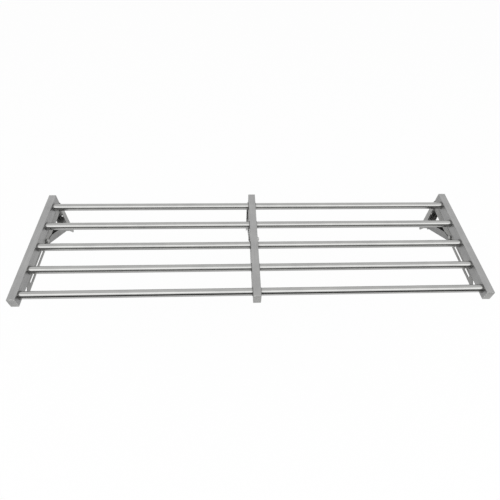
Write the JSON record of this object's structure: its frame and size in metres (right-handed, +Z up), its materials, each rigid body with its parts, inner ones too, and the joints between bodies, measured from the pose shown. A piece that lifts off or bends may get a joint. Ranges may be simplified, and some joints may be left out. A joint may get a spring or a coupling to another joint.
{
  "type": "wall shelf",
  "caption": "Stainless steel wall shelf: rows of round tube between box-section arms on slotted folding brackets with diagonal struts and wall channels.",
  "frame": {"origin": "centre of the middle wall channel's screw holes, on the wall plane", "axes": "+X along the shelf to the right as seen from the front, +Y into the wall, +Z up"},
  "size_m": [1.2126, 0.365, 0.157],
  "materials": {
    "satin_tube": "satin, grain along the arm",
    "polished_tube": "mirror polished",
    "bracket_sheet": "satin",
    "fastener": "polished",
    "weld_bead": "dressed weld"
  },
  "bodies": {
    "wall_side": {"wall_channel_left": "bracket_sheet", "wall_channel_mid": "bracket_sheet", "wall_channel_right": "bracket_sheet", "hinge_pins": "fastener", "hinge_sleeves": "fastener", "strut_rivets": "fastener"},
    "shelf": {"arm_left": "satin_tube", "cap_front_left": "satin_tube", "cap_rear_left": "satin_tube", "arm_mid": "satin_tube", "cap_front_mid": "satin_tube", "cap_rear_mid": "satin_tube", "arm_right": "satin_tube", "cap_front_right": "satin_tube", "cap_rear_right": "satin_tube", "tube_left_1": "polished_tube", "tube_left_2": "polished_tube", "tube_left_3": "polished_tube", "tube_left_4": "polished_tube", "tube_left_5": "polished_tube", "tube_right_1": "polished_tube", "tube_right_2": "polished_tube", "tube_right_3": "polished_tube", "tube_right_4": "polished_tube", "tube_right_5": "polished_tube", "tube_welds": "weld_bead", "leg_left": "bracket_sheet", "leg_mid": "bracket_sheet", "leg_right": "bracket_sheet", "leg_rivets": "fastener"},
    "prop_left": {"strut_left": "bracket_sheet"},
    "clamp_left": {"slot_bolt_left": "fastener", "slot_nut_left": "fastener"},
    "prop_mid": {"strut_mid": "bracket_sheet"},
    "clamp_mid": {"slot_bolt_mid": "fastener", "slot_nut_mid": "fastener"},
    "prop_right": {"strut_right": "bracket_sheet"},
    "clamp_right": {"slot_bolt_right": "fastener", "slot_nut_right": "fastener"}
  },
  "joints": [
    {"name": "shelf_fold", "type": "hinge", "parent": "wall_side", "child": "shelf", "pos_m": [0, -0.0105, 0.026], "axis": [1, 0, 0], "range_deg": [0, 90]},
    {"name": "prop_swing_left", "type": "hinge", "parent": "wall_side", "child": "prop_left", "pos_m": [-0.59, -0.016, -0.047], "axis": [1, 0, 0], "range_deg": [0, 121.5]},
    {"name": "clamp_slide_left", "type": "slide", "parent": "shelf", "child": "clamp_left", "axis": [0, -1, 0], "range_m": [0, 0.0895]},
    {"name": "prop_swing_mid", "type": "hinge", "parent": "wall_side", "child": "prop_mid", "pos_m": [0, -0.016, -0.047], "axis": [1, 0, 0], "range_deg": [0, 121.5]},
    {"name": "clamp_slide_mid", "type": "slide", "parent": "shelf", "child": "clamp_mid", "axis": [0, -1, 0], "range_m": [0, 0.0895]},
    {"name": "prop_swing_right", "type": "hinge", "parent": "wall_side", "child": "prop_right", "pos_m": [0.59, -0.016, -0.047], "axis": [1, 0, 0], "range_deg": [0, 121.5]},
    {"name": "clamp_slide_right", "type": "slide", "parent": "shelf", "child": "clamp_right", "axis": [0, -1, 0], "range_m": [0, 0.0895]}
  ],
  "couplings": [
    {"joint": "prop_swing_left", "follows": "shelf_fold", "ratio": 1.3458},
    {"joint": "clamp_slide_left", "follows": "shelf_fold", "m_per_rad": 0.05689},
    {"joint": "prop_swing_mid", "follows": "shelf_fold", "ratio": 1.3458},
    {"joint": "clamp_slide_mid", "follows": "shelf_fold", "m_per_rad": 0.05689},
    {"joint": "prop_swing_right", "follows": "shelf_fold", "ratio": 1.3458},
    {"joint": "clamp_slide_right", "follows": "shelf_fold", "m_per_rad": 0.05689}
  ]
}
